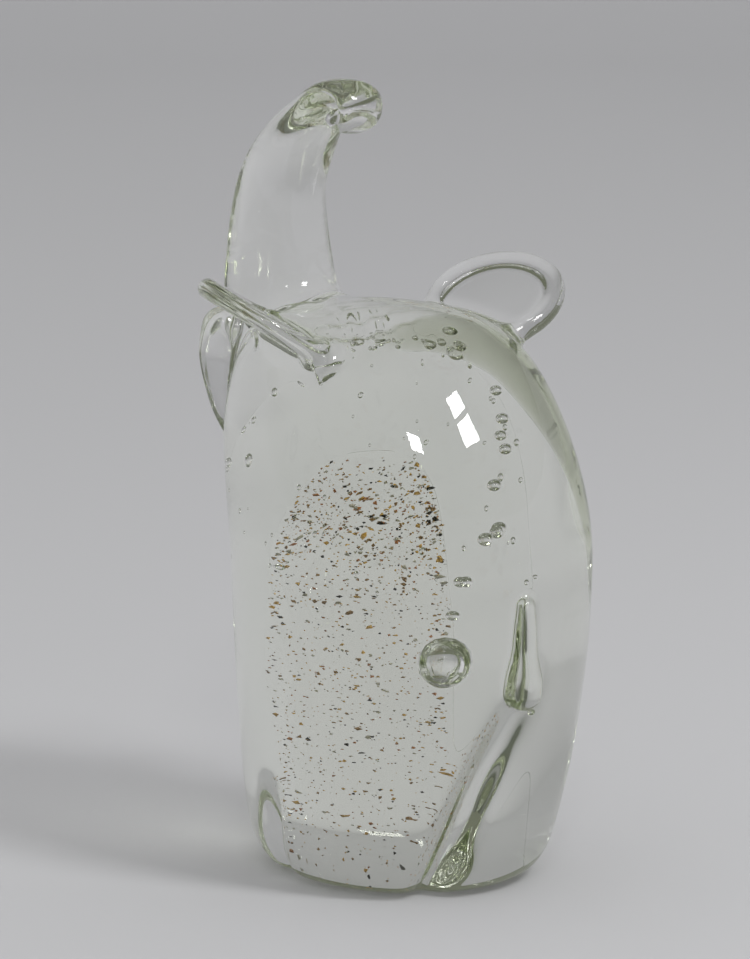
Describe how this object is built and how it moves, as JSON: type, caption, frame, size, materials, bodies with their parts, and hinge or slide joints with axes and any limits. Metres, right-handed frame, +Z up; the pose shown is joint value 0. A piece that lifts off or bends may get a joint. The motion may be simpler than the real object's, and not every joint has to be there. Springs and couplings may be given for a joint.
{
  "type": "glass elephant figurine",
  "caption": "Solid hot-worked clear glass elephant with a raised, curled trunk, disc ears, a speckled core and trapped bubbles, standing on a flat ground base.",
  "frame": {"origin": "middle of the flat resting face under the legs", "axes": "+Z up, -Y the way that the elephant faces, +X towards its left side"},
  "size_m": [0.0816, 0.0894, 0.1498],
  "materials": {
    "clear_glass": "polished, very slightly green in its depth, with trapped air bubbles",
    "speckled_glass": "clear glass full of brown, black, amber and copper chips"
  },
  "bodies": {
    "root": {"outer_gather": "clear_glass", "inner_gather": "clear_glass", "core_gather": "speckled_glass", "trunk": "clear_glass", "left_tusk": "clear_glass", "right_tusk": "clear_glass", "left_ear": "clear_glass", "right_ear": "clear_glass", "tail": "clear_glass"}
  },
  "joints": []
}
